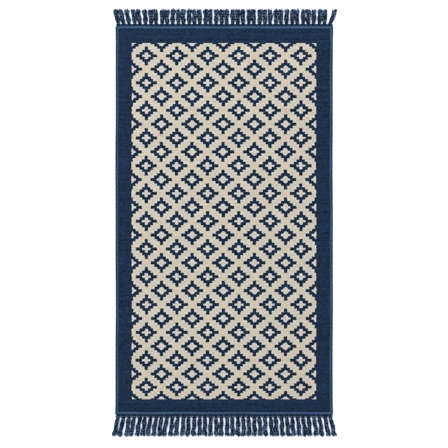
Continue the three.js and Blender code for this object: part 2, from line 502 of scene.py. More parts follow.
@dataclass(frozen=True)
class KilimWeave:
    """Tapestry-woven cotton in navy and undyed beige, matt, with small rounded weft loops in brick order.

    Each loop has a painted highlight on its crown and painted shade where it dips round a warp. Beside a
    change of colour the beige is painted paler, as a painted highlight on loops that stand up, and the navy
    is painted darker, as painted shade where its loops sink between them.

    Attributes:
        beige: its colour, that of its other dye lot, and that beside navy, which is paler as a painted
            highlight.
        navy: the same for navy; beside beige it is darker as painted shade.
        unevenness: how much the tones of loops, rows and streaks differ, on beige and on navy.
        tone_shares: how much loops, rows and streaks each count in that.
        beside_steps: warps and rows within which the other colour is close by, twice.
        beside_beige: the shares of navy close by between which beige changes to its paler, painted-highlight
            colour.
        beside_navy: the same for navy, which changes to its darker, painted-shade colour.
        slip_threads: warps and rows by which a colour's edge may slip.
        painted_loop_shade: the painted shade where a loop dips and the painted highlight on its crown, as
            factors.
        dip_share: how high a loop's ends are, as a share of its crown.
        painted_stitch_shade_tint: how light red, green and blue are where the stitching draws the cloth into
            a groove, as painted shade.
    """

    chart: Chart = Chart()
    beige: tuple[str, str, str] = ("C1BCAB", "CABBA7", "C9CED5")
    navy: tuple[str, str, str] = ("152A47", "162A40", "131819")
    unevenness: tuple[float, float] = (0.06, 0.34)
    tone_shares: tuple[float, float, float] = (3.0, 1.0, 2.6)
    streak_threads: tuple[float, float] = (30, 3.3)
    beside_steps: tuple[tuple[float, float], ...] = ((0.95, 1.5), (1.9, 3.1))
    beside_beige: tuple[float, float] = (0.1, 0.6)
    beside_navy: tuple[float, float] = (1.0, 0.5)
    slip_threads: tuple[float, float] = (0.5, 0.25)
    painted_loop_shade: tuple[float, float] = (0.72, 1.08)
    loop_height: float = 0.45 * MM
    dip_share: float = 0.45
    painted_stitch_shade_tint: tuple[float, float, float, float] = (0.57, 0.77, 0.9, 1.0)
    mottle_size: float = 34 * MM
    mottle_range: tuple[float, float] = (0.3, 0.7)
    hue_patch_size: float = 15 * MM
    hue_change: float = 0.26
    roughness: float = 0.92

    def material(self) -> Material:
        """Makes the cloth's material.

        Returns:
            The material. It reads the loom's threads from the UV map named weave.
        """
        material, add = new_material("kilim_weave")
        threads = add("UVMap", uv_map="weave").outputs["UV"]
        row = add("VectorMath", {0: threads}, operation="FLOOR")
        row = add("SeparateXYZ", {0: row}).outputs["Y"]
        odd = add("Math", {0: row, 1: 2.0}, operation="FLOORED_MODULO")
        brick = add("CombineXYZ", {"X": add("Math", {0: odd, 1: 0.5}, operation="MULTIPLY")})
        brick = add("VectorMath", {0: threads, 1: brick}, operation="ADD")
        loop = add("VectorMath", {0: brick}, operation="FLOOR")
        height = self._loop_height(add, brick)
        navy, beside = self._colour_areas(add, threads, loop)
        colour = self._yarn_colour(add, navy, beside)
        tone = self._uneven_tone(add, navy, threads, row, loop)
        # Painted shade where a loop dips and a painted highlight on its crown, by the loop's height
        low, high = self.painted_loop_shade
        for factor in (tone, add("MapRange", {0: height, 3: low, 4: high})):
            colour = add("VectorMath", {0: colour, "Scale": factor}, operation="SCALE")
        # Painted shade, tinted blue, on the cloth where the stitching draws it into a groove
        painted_stitch_shade = add("Attribute", attribute_name="painted_stitch_shade").outputs["Fac"]
        painted_stitch_shade = add("Mix", {0: painted_stitch_shade, 6: (1, 1, 1, 1), 7: self.painted_stitch_shade_tint}, data_type="RGBA")
        colour = add("VectorMath", {0: colour, 1: painted_stitch_shade}, operation="MULTIPLY")
        bump = add("Bump", {"Strength": 0.8, "Distance": self.loop_height, "Height": height})
        surface = {
            "Base Color": colour,
            "Roughness": self.roughness,
            "Specular IOR Level": 0.12,
            "Sheen Weight": 0.05,
            "Sheen Roughness": 0.5,
            "Normal": bump,
        }
        add("OutputMaterial", {"Surface": add("BsdfPrincipled", surface)})
        return material

    def _loop_height(self, add: AddNode, brick: Node) -> Node:
        """Adds the height of the weft loops, from 0 between them to 1 on a crown.

        Args:
            add: adds a node.
            brick: threads, with every second row moved by half a loop.

        Returns:
            The node that gives the height.
        """
        place = add("VectorMath", {0: brick}, operation="FRACTION")
        rest = add("VectorMath", {0: (1, 1, 1), 1: place}, operation="SUBTRACT")
        crown = add("VectorMath", {0: place, 1: rest}, operation="MULTIPLY")
        # A number times what is left of it to 1 comes to a quarter at most
        crown = add("VectorMath", {0: crown, "Scale": 4.0}, operation="SCALE")
        sides = add("SeparateXYZ", {0: crown})
        lengthways = add("MapRange", {0: sides.outputs["X"], 3: self.dip_share, 4: 1.0})
        return add("Math", {0: lengthways, 1: sides.outputs["Y"]}, operation="MULTIPLY")

    def _colour_areas(self, add: AddNode, threads: NodeSocket, loop: Node) -> tuple[Node, Node]:
        """Adds the two-colour design.

        Args:
            add: adds a node.
            threads: warps and weft rows.
            loop: the number of each weft loop.

        Returns:
            Nodes for 1 on navy and 0 on beige, and for the share of navy close by.
        """
        design = self.chart.group()
        slip = add("TexWhiteNoise", {"Vector": loop}, noise_dimensions="2D").outputs["Color"]
        slip = add("VectorMath", {0: slip, 1: (0.5, 0.5, 0.5)}, operation="SUBTRACT")
        slip = add("VectorMath", {0: slip, 1: (*self.slip_threads, 0)}, operation="MULTIPLY")
        slipped = add("VectorMath", {0: threads, 1: slip}, operation="ADD")
        navy = add("Group", {0: slipped}, node_tree=design)
        near = 0.0
        for warps, rows in self.beside_steps:
            for step in ((warps, 0, 0), (-warps, 0, 0), (0, rows, 0), (0, -rows, 0)):
                moved = add("VectorMath", {0: threads, 1: step}, operation="ADD")
                side = add("Group", {0: moved}, node_tree=design)
                share = 1 / (4 * len(self.beside_steps))
                near = add("Math", {0: side, 1: share, 2: near}, operation="MULTIPLY_ADD")
        return navy, near

    def _yarn_colour(self, add: AddNode, navy: Node, beside: Node) -> Node:
        """Adds the colour of the yarn, with the slow changes in its dye.

        Args:
            add: adds a node.
            navy: 1 on navy, 0 on beige.
            beside: the share of navy close by.

        Returns:
            The node that gives the colour.
        """
        place = add("TexCoord").outputs["Object"]
        patches = {"Vector": place, "Roughness": 0.6}
        mottle = add("TexNoise", patches | {"Scale": 1 / self.mottle_size, "Detail": 3.0})
        mottle = add("MapRange", {0: mottle, 1: self.mottle_range[0], 2: self.mottle_range[1]})
        yarns = []
        for colours, (far, close) in ((self.beige, self.beside_beige), (self.navy, self.beside_navy)):
            # Beside a change of colour, beige turns paler as a painted highlight and navy turns darker as
            # painted shade
            plain, other, edge = colours
            edge_share = add("MapRange", {0: beside, 1: far, 2: close})
            yarn = add("Mix", {0: mottle, 6: srgb(plain), 7: srgb(other)}, data_type="RGBA")
            yarns.append(add("Mix", {0: edge_share, 6: yarn, 7: srgb(edge)}, data_type="RGBA"))
        colour = add("Mix", {0: navy, 6: yarns[0], 7: yarns[1]}, data_type="RGBA")
        hue = add("TexNoise", patches | {"Scale": 1 / self.hue_patch_size, "Detail": 2.0}).outputs["Color"]
        change, rest = (self.hue_change,) * 3, (1 - self.hue_change / 2,) * 3
        hue = add("VectorMath", {0: hue, 1: change, 2: rest}, operation="MULTIPLY_ADD")
        return add("VectorMath", {0: colour, 1: hue}, operation="MULTIPLY")

    def _uneven_tone(
        self, add: AddNode, navy: Node, threads: NodeSocket, row: NodeSocket, loop: Node
    ) -> Node:
        """Adds the tone of each loop, of each weft row and of faint streaks along the rows.

        Args:
            add: adds a node.
            navy: 1 on navy, 0 on beige.
            threads: warps and weft rows.
            row: the number of the weft row.
            loop: the number of each weft loop.

        Returns:
            The node that gives a factor of about 1.
        """
        loop_tone = add("TexWhiteNoise", {"Vector": loop}, noise_dimensions="2D")
        row_tone = add("TexWhiteNoise", {"W": row}, noise_dimensions="1D")
        stretch = (1 / self.streak_threads[0], 1 / self.streak_threads[1], 0)
        streaks = add("VectorMath", {0: threads, 1: stretch}, operation="MULTIPLY")
        streaks = add("TexNoise", {"Vector": streaks, "Scale": 1.0, "Detail": 1.0})
        # Each tone is a half on average
        tone = -sum(self.tone_shares) / 2
        for part, share in zip((loop_tone, row_tone, streaks), self.tone_shares):
            tone = add("Math", {0: part, 1: share, 2: tone}, operation="MULTIPLY_ADD")
        strength = add("MapRange", {0: navy, 3: self.unevenness[0], 4: self.unevenness[1]})
        return add("Math", {0: tone, 1: strength, 2: 1.0}, operation="MULTIPLY_ADD")


# The yarns' finish


@dataclass(frozen=True)
class PliedYarn:
    """Plied cotton yarn, spun and dyed, matt, with fine fibres, painted highlights on its plies and painted
    shade between.

    It is spun a little unevenly, so that paler slubs take turns with darker, tighter stretches.

    Attributes:
        crease: the painted shade between its plies, and crest_highlight the painted highlight on them.
        other_lot: the crests' painted highlight colour in its other dye lot.
        tone_change: how much darker or lighter the darkest and the lightest yarn is, as a share.
        slub_change: the same for its slubs.
        tip_fade: how much paler its far end has worn.
        crease_shade_width: how far up a ply the crease's painted shade reaches, from 0 to 1.
        crest_power: how narrow the painted highlight on the crests is.
        slub_range: the part of the noise's range that slubs take up.
        worn_from: the share of a cord's length from which it fades.
    """

    name: str
    crease: str
    crest_highlight: str
    other_lot: str
    slub_change: float
    gloss_tint: str = "FFFFFF"
    tone_change: float = 0.5
    tip_fade: float = 0.0
    crease_shade_width: float = 0.0
    crest_light: float = 0.8
    crest_power: float = 1.0
    slub_length: float = 8 * MM
    fibre_size: float = 0.5 * MM
    fibre_height: float = 0.12 * MM
    fibre_stretch: float = 0.15
    fibre_share: float = 0.4
    slub_range: tuple[float, float] = (0.41, 0.59)
    worn_from: float = 0.3
    roughness: float = 0.9

    @cache
    def material(self) -> Material:
        """Makes the yarn's material, once for all its pieces.

        Returns:
            The material. It reads the attributes crest_highlight, tone, lot, worn and fibre.
        """
        material, add = new_material(self.name)
        crest_highlight, tone, lot, worn = (
            add("Attribute", attribute_name=name).outputs["Fac"] for name in ("crest_highlight", "tone", "lot", "worn")
        )
        fibre = add("Attribute", attribute_name="fibre").outputs["Vector"]
        stretched = add("VectorMath", {0: fibre, 1: (self.fibre_stretch, 1, 1)}, operation="MULTIPLY")
        fineness = {"Scale": 1 / self.fibre_size, "Detail": 2.0, "Roughness": 0.6}
        hairs = add("TexNoise", {"Vector": stretched} | fineness)
        # Painted shade in the creases and a painted highlight on the crests, by how far each point stands out
        light = add("MapRange", {0: crest_highlight, 1: self.crease_shade_width, 3: 0.0, 4: self.crest_light})
        # The hairs' noise is a half on average, so half their share is taken off again
        light = add("Math", {0: hairs, 1: self.fibre_share, 2: light}, operation="MULTIPLY_ADD")
        light = add("Math", {0: light, 1: self.fibre_share / 2}, operation="SUBTRACT", use_clamp=True)
        light = add("Math", {0: light, 1: self.crest_power}, operation="POWER")
        bright = add("Mix", {0: lot, 6: srgb(self.crest_highlight), 7: srgb(self.other_lot)}, data_type="RGBA")
        colour = add("Mix", {0: light, 6: srgb(self.crease), 7: bright}, data_type="RGBA")
        slubs = add("TexNoise", {"Vector": fibre, "Scale": 1 / self.slub_length, "Detail": 1.0})
        for value, (low, high), (least, most) in (
            (tone, (0.0, 1.0), (1 - self.tone_change, 1 + self.tone_change)),
            (slubs, self.slub_range, (1 - self.slub_change, 1 + self.slub_change)),
            (worn, (self.worn_from, 1.0), (1.0, 1 + self.tip_fade)),
        ):
            factor = add("MapRange", {0: value, 1: low, 2: high, 3: least, 4: most})
            colour = add("VectorMath", {0: colour, "Scale": factor}, operation="SCALE")
        surface = {
            "Base Color": colour,
            "Roughness": self.roughness,
            "Specular IOR Level": 0.12,
            "Specular Tint": srgb(self.gloss_tint),
            "Sheen Weight": 0.05,
            "Sheen Tint": srgb(self.gloss_tint),
            "Sheen Roughness": 0.5,
            "Normal": add("Bump", {"Strength": 0.7, "Distance": self.fibre_height, "Height": hairs}),
        }
        add("OutputMaterial", {"Surface": add("BsdfPrincipled", surface)})
        return material


BINDING_YARN = PliedYarn(
    name="navy_binding_cotton", crease="050F22", crest_highlight="20446D", other_lot="2E3A68", slub_change=0.1
)
SEWING_YARN = PliedYarn(
    name="light_blue_sewing_yarn", crease="1C3752", crest_highlight="507091", other_lot="5569A0", slub_change=0.1
)
LOOSE_FIBRES = PliedYarn(
    name="pale_loose_cotton_fibres", crease="425D85", crest_highlight="6E93C4", other_lot="8790C0", slub_change=0.5
)
FRINGE_YARN = PliedYarn(
    name="navy_fringe_cotton",
    crease="001027",
    crest_highlight="53677F",
    other_lot="545E7B",
    gloss_tint="5F90C0",
    slub_change=0.85,
    tone_change=0.85,
    tip_fade=0.4,
    crease_shade_width=0.2,
    crest_power=1.8,
    slub_length=5.5 * MM,
)


# Cords


def plied_cord(plies: int, sides: int, steps: int, turns: float, crease: float) -> Template:
    """Makes a straight cord of twisted plies, of radius 1 and from z = 0 to z = 1.

    Args:
        plies: strands that are twisted together.
        sides: sides of its section.
        steps: steps along it.
        turns: whole turns of the twist.
        crease: depth of the crease between two plies.

    Returns:
        The cord, closed at both ends.
    """
    cord = bmesh.new()
    bmesh.ops.create_circle(cord, cap_ends=False, segments=sides, radius=1)
    for vert in cord.verts:
        angle = math.atan2(vert.co.y, vert.co.x)
        vert.co *= 1 - crease * (1 - math.cos(plies * angle)) / 2
    rim = cord.verts[:] + cord.edges[:]
    step = (0, 0, 1 / steps)
    twist = 2 * math.pi * turns
    bmesh.ops.spin(cord, geom=rim, cent=(0, 0, 0), axis=(0, 0, 1), dvec=step, angle=twist, steps=steps)
    rims = [edge for edge in cord.edges if edge.is_boundary]
    bmesh.ops.holes_fill(cord, edges=rims, sides=0)
    return Template.taken_from(cord)


@dataclass(frozen=True)
class CordLay:
    """Where the points of a cord go once it is bent along a path.

    Attributes:
        crest_highlight: 0 in the creases between plies, 1 on their crests; the yarn paints shade and
            highlight by it.
        fibre: the distance along the cord and round it, which fibres follow.
    """

    points: np.ndarray
    crest_highlight: np.ndarray
    fibre: np.ndarray


def bend_cord(cord: Template, path: np.ndarray, radii: np.ndarray, across: tuple[int, int, int]) -> CordLay:
    """Bends a straight cord along a path.

    Args:
        cord: a cord of radius 1 from z = 0 to z = 1.
        path: the place of each ring of the cord.
        radii: the radius of each ring.
        across: a direction that the path never takes, which keeps the cord from turning.

    Returns:
        The cord's points and what its finish reads.
    """
    ring = np.rint(cord.points[:, 2] * (len(path) - 1)).astype(int)
    ahead = np.gradient(path, axis=0)
    ahead /= np.linalg.norm(ahead, axis=1, keepdims=True)
    right = np.array(across) - ahead * (ahead @ np.array(across))[:, None]
    right /= np.linalg.norm(right, axis=1, keepdims=True)
    above = np.cross(ahead, right)
    flat, up = cord.points[:, 0], cord.points[:, 1]
    offset = flat[:, None] * right[ring] + up[:, None] * above[ring]
    reach = np.hypot(flat, up)
    # How far a point stands out, from 0 in a crease to 1 on a crest, which the yarn paints as shade and
    # highlight
    crest_highlight = (reach - reach.min()) / np.ptp(reach)
    stretches = np.linalg.norm(np.diff(path, axis=0), axis=1)
    along = np.concatenate([[0], np.cumsum(stretches)])[ring]
    turned = ring * 2 * math.pi / ring.max()
    fibre = np.stack([along, radii[ring] * np.cos(turned), radii[ring] * np.sin(turned)], axis=1)
    return CordLay(path[ring] + radii[ring, None] * offset, crest_highlight, fibre)


def join_cords(
    name: str,
    cord: Template,
    lays: list[CordLay],
    tones: Iterable[float],
    lots: Iterable[float] | float,
    yarn: PliedYarn,
    node: str | None = None,
    shift: tuple[int, int, int] = (13, 7, 3),
) -> Object:
    """Joins cords of one kind into one piece and dresses it.

    Args:
        name: the piece's name.
        cord: the straight cord that they all are.
        lays: where each cord's points lie.
        tones: how light each cord is, from 0 to 1.
        lots: how far each cord's yarn is of the other dye lot, from 0 to 1, or one share for all.
        yarn: their finish.
        node: the solid that the piece replaces, if any.
        shift: millimetres by which each cord reads another part of the fibres' pattern.

    Returns:
        The piece.
    """
    count, size = len(lays), len(cord.points)
    number = np.arange(count)[:, None]
    corners = cord.corners + size * number
    starts = cord.starts + len(cord.corners) * number
    points = np.array([lay.points for lay in lays])
    mesh = bpy.data.meshes.new(name)
    mesh.vertices.add(count * size)
    mesh.vertices.foreach_set("co", points.astype(np.float32).ravel())
    mesh.loops.add(corners.size)
    mesh.loops.foreach_set("vertex_index", corners.astype(np.int32).ravel())
    mesh.polygons.add(starts.size)
    mesh.polygons.foreach_set("loop_start", starts.astype(np.int32).ravel())
    mesh.polygons.foreach_set("use_smooth", np.ones(starts.size, bool))
    mesh.update(calc_edges=True)
    mesh.validate()
    moved = number[:, None] * np.array(shift) * MM
    store_attribute(mesh, "crest_highlight", np.concatenate([lay.crest_highlight for lay in lays]))
    store_attribute(mesh, "fibre", np.array([lay.fibre for lay in lays]) + moved)
    store_attribute(mesh, "tone", np.repeat(tones, size))
    store_attribute(mesh, "lot", np.repeat(np.broadcast_to(lots, count), size))
    store_attribute(mesh, "worn", np.tile(cord.points[:, 2], count))
    piece = new_object(name, mesh)
    dress(piece, yarn.material(), node)
    return piece


# The cloth


@dataclass(frozen=True)
class WovenCloth:
    """The woven cloth: one closed sheet whose weft rows stand up as low ribs on both faces.

    Attributes:
        beating_relief: how unevenly the rows are beaten up.
        beating_shares: how much a whole row and its single stretches count in that.
        slow_turns: radians a metre of slow waves across, of their sway along the rug, and of waves along it.
        slow_sway: how far they sway, in radians.
        selvedge: the profile in from the long sides. Each row gives the distance in, how far the upper face
        stands above the cloth's thickness and the underside above the floor, all in millimetres, and
        how much painted shade darkens the cloth beside the stitching there, from 0 to 1.
        end: the same in from the ends.
    """

    body: Body = Body()
    loom: Loom = Loom()
    weave: KilimWeave = KilimWeave()
    rib_height: float = 0.3 * MM
    beating_relief: float = 0.1 * MM
    beating_shares: tuple[float, float] = (0.7, 0.6)
    beating_stretches: int = 8
    slow_relief: float = 0.25 * MM
    slow_turns: tuple[float, float, float] = (31, 9, 23)
    slow_sway: float = 2
    slow_phase: float = 1.3
    columns_between: int = 30
    selvedge: Profile = (
        (0.0, -3.4, 1.4, 1.0),
        (0.9, -2.0, 0.8, 1.0),
        (2.4, -1.0, 0.4, 1.0),
        (4.3, -1.1, 0.4, 1.0),
        (6.7, -1.3, 0.6, 1.0),
        (9.4, -0.9, 0.3, 1.0),
        (12.6, -0.3, 0.0, 0.9),
        (14.8, 0.0, 0.0, 0.0),
    )
    end: Profile = (
        (0.0, -1.2, 0.6, 1.0),
        (3.6, -1.3, 0.6, 1.0),
        (6.6, -1.0, 0.4, 1.0),
        (9.0, -0.2, 0.0, 1.0),
        (12.2, 0.0, 0.0, 1.0),
        (13.6, 0.0, 0.0, 0.0),
    )

    def span(self) -> tuple[float, float]:
        """Where the cloth starts and ends along the rug, between the two heading strips."""
        edge = self.body.length / 2 - self.body.parting_gap
        return End.BOTTOM.value.heading - edge, edge - End.TOP.value.heading

    def build(self) -> Object:
        """Builds the cloth.

        Returns:
            The cloth, dressed.
        """
        warps, rows = self._grid_threads()
        grid = bmesh.new()
        bmesh.ops.create_grid(grid, x_segments=len(warps) - 1, y_segments=len(rows) - 1, size=1)
        raised = bmesh.ops.extrude_face_region(grid, geom=grid.faces[:])["geom"]
        top = [element for element in raised if isinstance(element, bmesh.types.BMVert)]
        bmesh.ops.translate(grid, verts=top, vec=(0, 0, 1))
        bmesh.ops.recalc_face_normals(grid, faces=grid.faces[:])
        mesh = bpy.data.meshes.new("woven_cloth")
        grid.to_mesh(mesh)
        grid.free()
        self._place_threads(mesh, warps, rows)
        cloth = new_object("woven_cloth", mesh)
        dress(cloth, self.weave.material(), "rug_cloth")
        return cloth

    def _grid_threads(self) -> tuple[np.ndarray, np.ndarray]:
        """Finds the threads on which the grid's lines lie.

        Returns:
            The warp of each column, and the weft row of each line: each rib's crown and the dip beside it.
        """
        places = self.body.width / 2 - np.array(self.selvedge)[:, 0] * MM
        left = self.loom.warps.number(-places)
        right = self.loom.warps.number(places)[::-1]
        between = np.linspace(left[-1], right[0], self.columns_between + 2)[1:-1]
        low, high = self.loom.rows.number(np.array(self.span()))
        rows = np.arange(math.ceil(2 * low + 0.5), math.floor(2 * high - 0.5) + 1) / 2
        return np.concatenate([left, between, right]), np.concatenate([[low], rows, [high]])

    def _place_threads(self, mesh: Mesh, warps: np.ndarray, rows: np.ndarray) -> None:
        """Moves the grid's vertices to their threads and stores the threads in the UV map.

        Args:
            mesh: the grid, from -1 to 1 each way, with its top face at z = 1.
            warps: the warp of each column.
            rows: the weft row of each line.
        """
        points = np.empty(3 * len(mesh.vertices), np.float32)
        mesh.vertices.foreach_get("co", points)
        x, y, z = points.reshape(-1, 3).astype(float).T
        column = np.rint((x + 1) / 2 * (len(warps) - 1)).astype(int)
        line = np.rint((y + 1) / 2 * (len(rows) - 1)).astype(int)
        warp, row = warps[column], rows[line]
        across, along = self.loom.warps.place(warp), self.loom.rows.place(row)
        low, high = self.span()
        by_side = self._read_profile(self.selvedge, self.body.width / 2 - np.abs(across))
        by_end = self._read_profile(self.end, np.minimum(along - low, high - along))
        lift, rise, _ = (by_side + by_end) * MM
        over, sway, lengthways = self.slow_turns
        slow = np.sin(across * over + self.slow_sway * np.sin(along * sway))
        slow *= np.sin(along * lengthways + self.slow_phase)
        top_ribs, under_ribs = (ribs[line, column] for ribs in self._beating(rows, len(warps)))
        top = self.body.thickness + lift + top_ribs + self.slow_relief * slow
        height = np.where(z > 0.5, top, np.maximum(rise - under_ribs, 0))
        points = np.stack([self.body.strayed(across, along), along, height], axis=1)
        mesh.vertices.foreach_set("co", points.astype(np.float32).ravel())
        mesh.polygons.foreach_set("use_smooth", np.ones(len(mesh.polygons), bool))
        corner_vertex = np.empty(len(mesh.loops), np.int32)
        mesh.loops.foreach_get("vertex_index", corner_vertex)
        threads = np.stack([warp, row], axis=1)[corner_vertex]
        mesh.uv_layers.new(name="weave").data.foreach_set("uv", threads.astype(np.float32).ravel())
        # The share of painted shade beside the stitching, from 0 to 1
        store_attribute(mesh, "painted_stitch_shade", np.maximum(by_side[2], by_end[2]))
        mesh.update()

    def _read_profile(self, profile: Profile, distance: np.ndarray) -> np.ndarray:
        """Reads the last three columns of a profile at distances in from the edge."""
        insets, *columns = np.array(profile).T
        return np.array([np.interp(distance, insets * MM, column) for column in columns])

    def _beating(self, rows: np.ndarray, columns: int) -> tuple[np.ndarray, np.ndarray]:
        """The ribs of the weft rows, each beaten up a little higher or lower, which changes slowly across it.

        Args:
            rows: the weft row of each grid line.
            columns: grid columns.

        Returns:
            Heights for the upper face and for the underside, from the crowns of even ribs.
        """
        draws = np.random.default_rng(seed=5)
        is_dip = np.isclose(rows, np.rint(rows))[:, None]
        place = np.linspace(0, self.beating_stretches, columns)
        before = np.clip(place.astype(int), 0, self.beating_stretches - 1)
        by_row, by_stretch = self.beating_shares
        faces = []
        for _ in range(2):
            whole = draws.normal(size=(len(rows), 1))
            knots = draws.normal(size=(len(rows), self.beating_stretches + 1))
            local = knots[:, before] * (before + 1 - place) + knots[:, before + 1] * (place - before)
            uneven = np.clip(by_row * whole + by_stretch * local, -2, 2)
            faces.append(self.beating_relief * uneven - self.rib_height * is_dip)
        return faces[0], faces[1]


@dataclass(frozen=True)
class Overcasting:
    """Navy yarn wrapped round both long sides of the cloth, turn beside turn.

    Attributes:
        reach: how far in from the edge a turn starts and ends.
        proud: how far the turns stand out from the left side and from the right one.
        tuck: how deep a turn's two ends are tucked in.
        tuck_power: how close to the ends that starts.
        tucked_thinning: how much thinner the yarn is there, as a share.
    """

    body: Body = Body()
    pitch: float = 2.35 * MM
    yarn_radius: float = 1.08 * MM
    reach: float = 4.6 * MM
    proud: tuple[float, float] = (1.5 * MM, 1.25 * MM)
    slant: float = 1.7 * MM
    stray: float = 0.25 * MM
    tuck: float = 0.7 * MM
    tuck_power: int = 6
    tucked_thinning: float = 0.35
    tone: float = 0.47
    tone_spread: float = 0.15
    sides: int = 6
    steps: int = 8

    def build(self, low: float, high: float) -> Object:
        """Builds the wraps of both sides.

        Args:
            low: where they start along the rug.
            high: where they end.

        Returns:
            All wraps as one joined piece, dressed.
        """
        yarn = plied_cord(plies=2, sides=self.sides, steps=self.steps, turns=0.5, crease=0.2)
        turn = np.linspace(0, math.pi, self.steps + 1)
        tucked = np.cos(turn) ** self.tuck_power
        swing = self.body.thickness / 2 - self.yarn_radius - self.tuck * tucked
        height = self.body.thickness / 2 + swing * np.cos(turn)
        inset = self.reach - (self.reach - self.yarn_radius) * np.sin(turn)
        radii = self.yarn_radius * (1 - self.tucked_thinning * tucked)
        number = np.arange(round((high - low) / self.pitch))
        places = low + (number + 0.5) * (high - low) / len(number)
        lays = []
        tones = []
        for way, side, proud in zip((-1, 1), ("left", "right"), self.proud):
            for place in places + self.stray * unevenness(number, seed=1.7 + way):
                along = place + self.slant * (turn / math.pi - 0.5)
                out = self.body.width / 2 + proud + self.body.stray(side, along) - inset
                path = np.stack([way * out, along, height], axis=1)
                lays.append(bend_cord(yarn, path, radii, across=(0, 1, 0)))
            tones.extend(self.tone + self.tone_spread * unevenness(number, seed=3.1 + way))
        return join_cords("selvedge_overcasting", yarn, lays, tones, 0.0, BINDING_YARN)


# The sewn line


class Face(Enum):
    """The two faces of the rug."""

    UPPER = "upper"
    UNDER = "under"


@dataclass(frozen=True)
class StitchRun:
    """One straight stretch of the sewn line, from start to stop, each given across and along."""

    start: tuple[float, float]
    stop: tuple[float, float]
    width: float
    tone: float


@dataclass(frozen=True)
class YarnChange:
    """A part of the bottom line, from start to stop across the rug, that was sewn with another ball of yarn.

    Attributes:
        tone: how much lighter this yarn is.
        lot: how far it is of the other dye lot, from 0 to 1.
    """

    start: float
    stop: float
    tone: float
    lot: float


